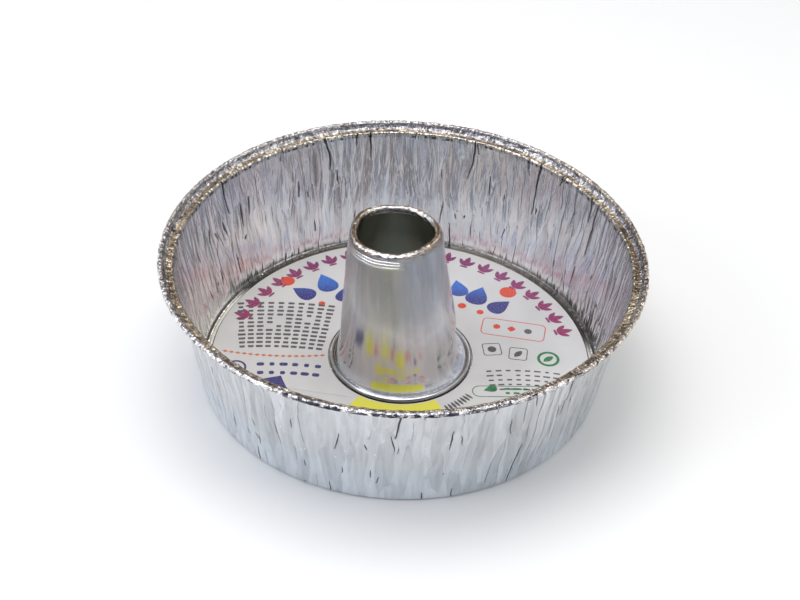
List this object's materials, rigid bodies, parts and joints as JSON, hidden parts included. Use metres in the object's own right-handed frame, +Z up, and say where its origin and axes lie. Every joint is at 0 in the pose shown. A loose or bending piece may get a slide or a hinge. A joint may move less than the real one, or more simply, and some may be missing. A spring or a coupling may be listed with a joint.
{
  "type": "ring cake pan",
  "caption": "Round foil cake pan with a flanged, rolled rim, a tapered open centre tube crimped into its floor, and a loose round card that lies around the tube.",
  "frame": {"origin": "centre of the underside, on the surface that the pan stands on", "axes": "+Z up along the pan's centre line; +Y away from the picture's camera, +X to its right"},
  "size_m": [0.246, 0.246, 0.0834],
  "materials": {
    "pan_foil": "bright wrinkled foil",
    "tube_foil": "bright smooth foil",
    "card_stock": "satin coated card"
  },
  "bodies": {
    "pan": {"pan_shell": "pan_foil", "centre_tube": "tube_foil"},
    "card": {"label_card": "card_stock"}
  },
  "joints": [
    {"name": "card_lift", "type": "slide", "parent": "pan", "child": "card", "axis": [0, 0, 1], "range_m": [0, 0.09]}
  ]
}
